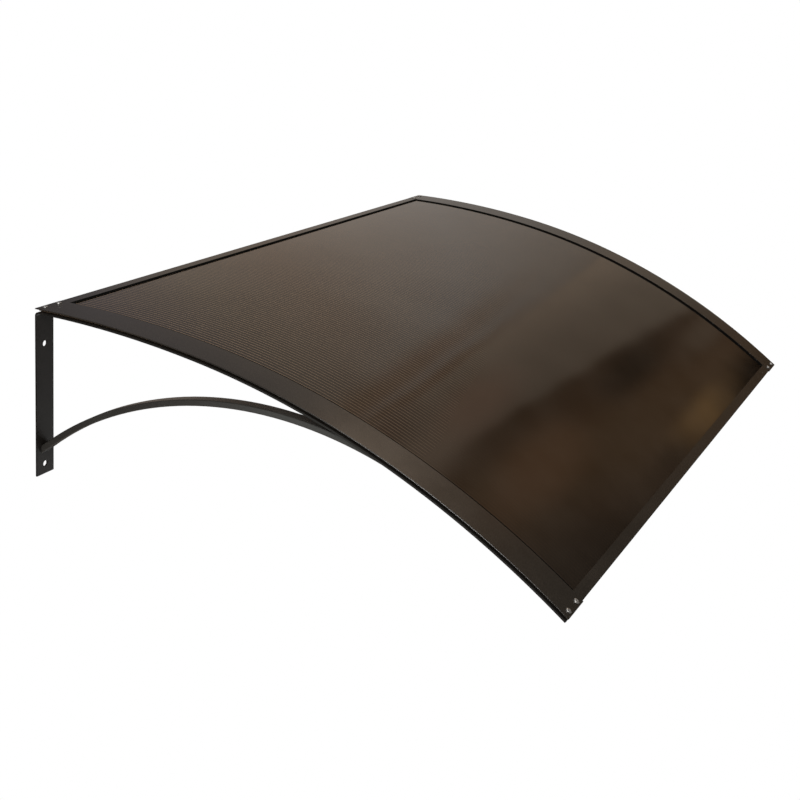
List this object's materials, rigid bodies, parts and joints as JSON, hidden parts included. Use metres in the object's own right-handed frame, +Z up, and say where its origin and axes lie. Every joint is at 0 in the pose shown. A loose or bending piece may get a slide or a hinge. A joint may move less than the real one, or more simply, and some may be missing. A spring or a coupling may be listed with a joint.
{
  "type": "door canopy",
  "caption": "Arched twin-wall polycarbonate canopy on bent flat-bar wall brackets with bowed tube braces, cover strips, edge profiles and rivets.",
  "frame": {"origin": "centre of the back profile's rear face, on the wall plane", "axes": "+X across the door towards the right as seen from the front, +Y into the wall, +Z up; the canopy reaches forward to -Y"},
  "size_m": [1.4, 0.8972, 0.2832],
  "materials": {
    "frame_paint": "dark brown satin paint",
    "strip_paint": "dark brown satin paint",
    "bronze_polycarbonate": "bronze tinted, semi-gloss, with fine parallel channels",
    "rivet": "plain, dull"
  },
  "bodies": {
    "root": {"bracket_bar_left": "frame_paint", "bracket_bar_right": "frame_paint", "brace_left": "frame_paint", "brace_right": "frame_paint", "cover_strip_left": "strip_paint", "cover_strip_right": "strip_paint", "front_profile": "strip_paint", "back_profile": "strip_paint", "polycarbonate_sheet": "bronze_polycarbonate", "rivet_front_left_outer": "rivet", "rivet_front_left_inner": "rivet", "rivet_front_right_outer": "rivet", "rivet_front_right_inner": "rivet", "rivet_back_left_outer": "rivet", "rivet_back_left_inner": "rivet", "rivet_back_right_outer": "rivet", "rivet_back_right_inner": "rivet"}
  },
  "joints": []
}
